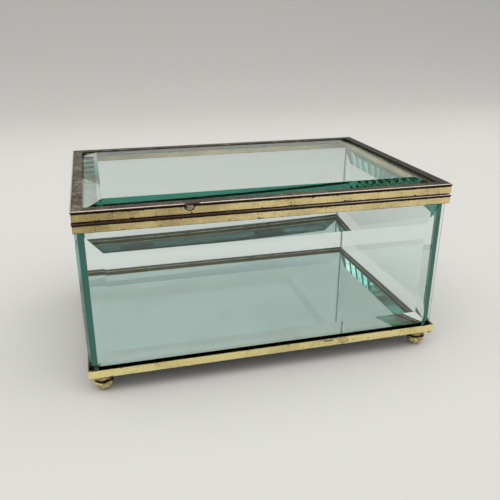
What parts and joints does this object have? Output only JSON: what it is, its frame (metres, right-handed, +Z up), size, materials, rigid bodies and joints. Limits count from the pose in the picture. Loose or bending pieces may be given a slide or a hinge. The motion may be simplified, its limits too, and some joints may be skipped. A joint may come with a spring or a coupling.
{
  "type": "glass casket box",
  "caption": "Rectangular glass keepsake box with bevelled plates in brass frames, a mirror floor, ball feet and a lid hinged at the back.",
  "frame": {"origin": "on the table, under the middle of the box's overall length and depth with the hinges counted in", "axes": "+X along the length to the right, +Y to the hinged back, +Z up; the front faces -Y"},
  "size_m": [0.178, 0.1249, 0.0911],
  "materials": {
    "brass_band": "worn polished brass with dark specks",
    "tarnished_brass": "dark brown tarnish with pale pitting",
    "bevelled_glass": "clear, green at the edges",
    "mirror_glass": "silvered on the back",
    "mirror_coat": "grey protective paint",
    "solder": "dull, brass washed",
    "clear_adhesive": "clear cured adhesive"
  },
  "bodies": {
    "box": {"base_front": "brass_band", "base_back": "brass_band", "base_left": "brass_band", "base_right": "brass_band", "base_corner_solder": "solder", "foot_front_left": "brass_band", "foot_front_right": "brass_band", "foot_back_left": "brass_band", "foot_back_right": "brass_band", "floor_mirror": "mirror_glass", "mirror_silvering": "mirror_coat", "front_glass": "bevelled_glass", "back_glass": "bevelled_glass", "left_glass": "bevelled_glass", "right_glass": "bevelled_glass", "corner_adhesive": "clear_adhesive", "rim_front": "brass_band", "rim_back": "brass_band", "rim_left": "brass_band", "rim_right": "brass_band", "rim_strip_front": "tarnished_brass", "rim_strip_back": "tarnished_brass", "rim_strip_left": "tarnished_brass", "rim_strip_right": "tarnished_brass", "rim_corner_solder": "solder", "rim_hinge_leaf_left": "brass_band", "rim_hinge_leaf_right": "brass_band", "hinge_pin_left": "brass_band", "hinge_pin_right": "brass_band"},
    "lid": {"lid_band_front": "brass_band", "lid_band_back": "brass_band", "lid_band_left": "brass_band", "lid_band_right": "brass_band", "lid_strip_front": "tarnished_brass", "lid_strip_back": "tarnished_brass", "lid_strip_left": "tarnished_brass", "lid_strip_right": "tarnished_brass", "lid_glass": "bevelled_glass", "lid_hinge_leaf_left": "brass_band", "lid_hinge_leaf_right": "brass_band"}
  },
  "joints": [
    {"name": "lid_hinge", "type": "hinge", "parent": "box", "child": "lid", "pos_m": [0, 0.0602, 0.08508], "axis": [-1, 0, 0], "range_deg": [0, 104]}
  ]
}
